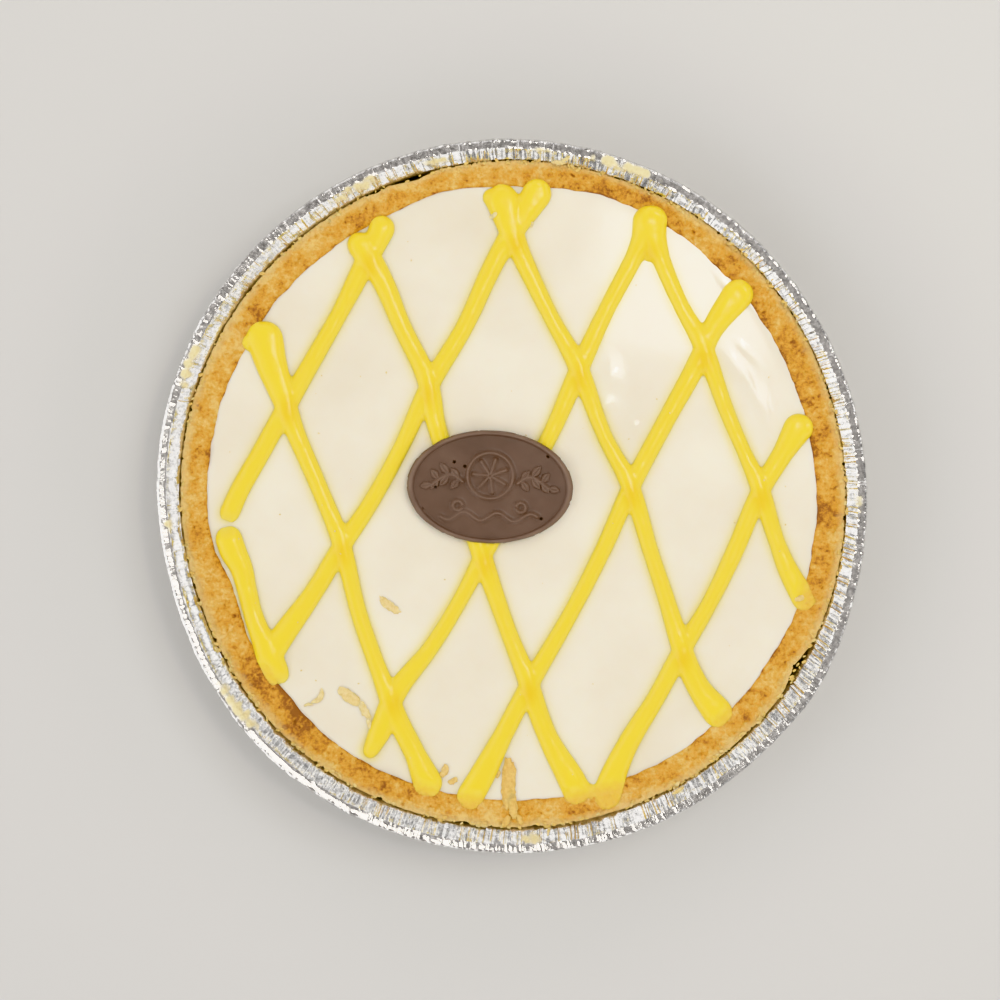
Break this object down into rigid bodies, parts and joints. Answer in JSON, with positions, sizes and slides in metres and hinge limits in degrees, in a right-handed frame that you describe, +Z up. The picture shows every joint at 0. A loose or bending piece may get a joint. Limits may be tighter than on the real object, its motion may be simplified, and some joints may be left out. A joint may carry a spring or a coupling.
{
  "type": "lemon bakewell tart",
  "caption": "Round shallow lemon tart in a fluted foil dish: golden crust, smooth white icing with a lattice of thick yellow strokes and an oval chocolate plaque.",
  "frame": {"origin": "middle of the foil dish's flat base, on the surface that it stands on", "axes": "+Z up; +Y towards the top of the picture and +X towards its right, with the plaque's long side along X"},
  "size_m": [0.1776, 0.1788, 0.0251],
  "materials": {
    "foil": "bright crinkled foil",
    "crust": "golden crumbly shortcrust, matt",
    "white_icing": "glossy set white icing",
    "yellow_icing": "glossy thick lemon-yellow icing strokes",
    "chocolate": "moulded milk chocolate, satin"
  },
  "bodies": {
    "root": {"foil_tray": "foil", "pastry_case": "crust", "icing": "white_icing", "chocolate_plaque": "chocolate"}
  },
  "joints": []
}
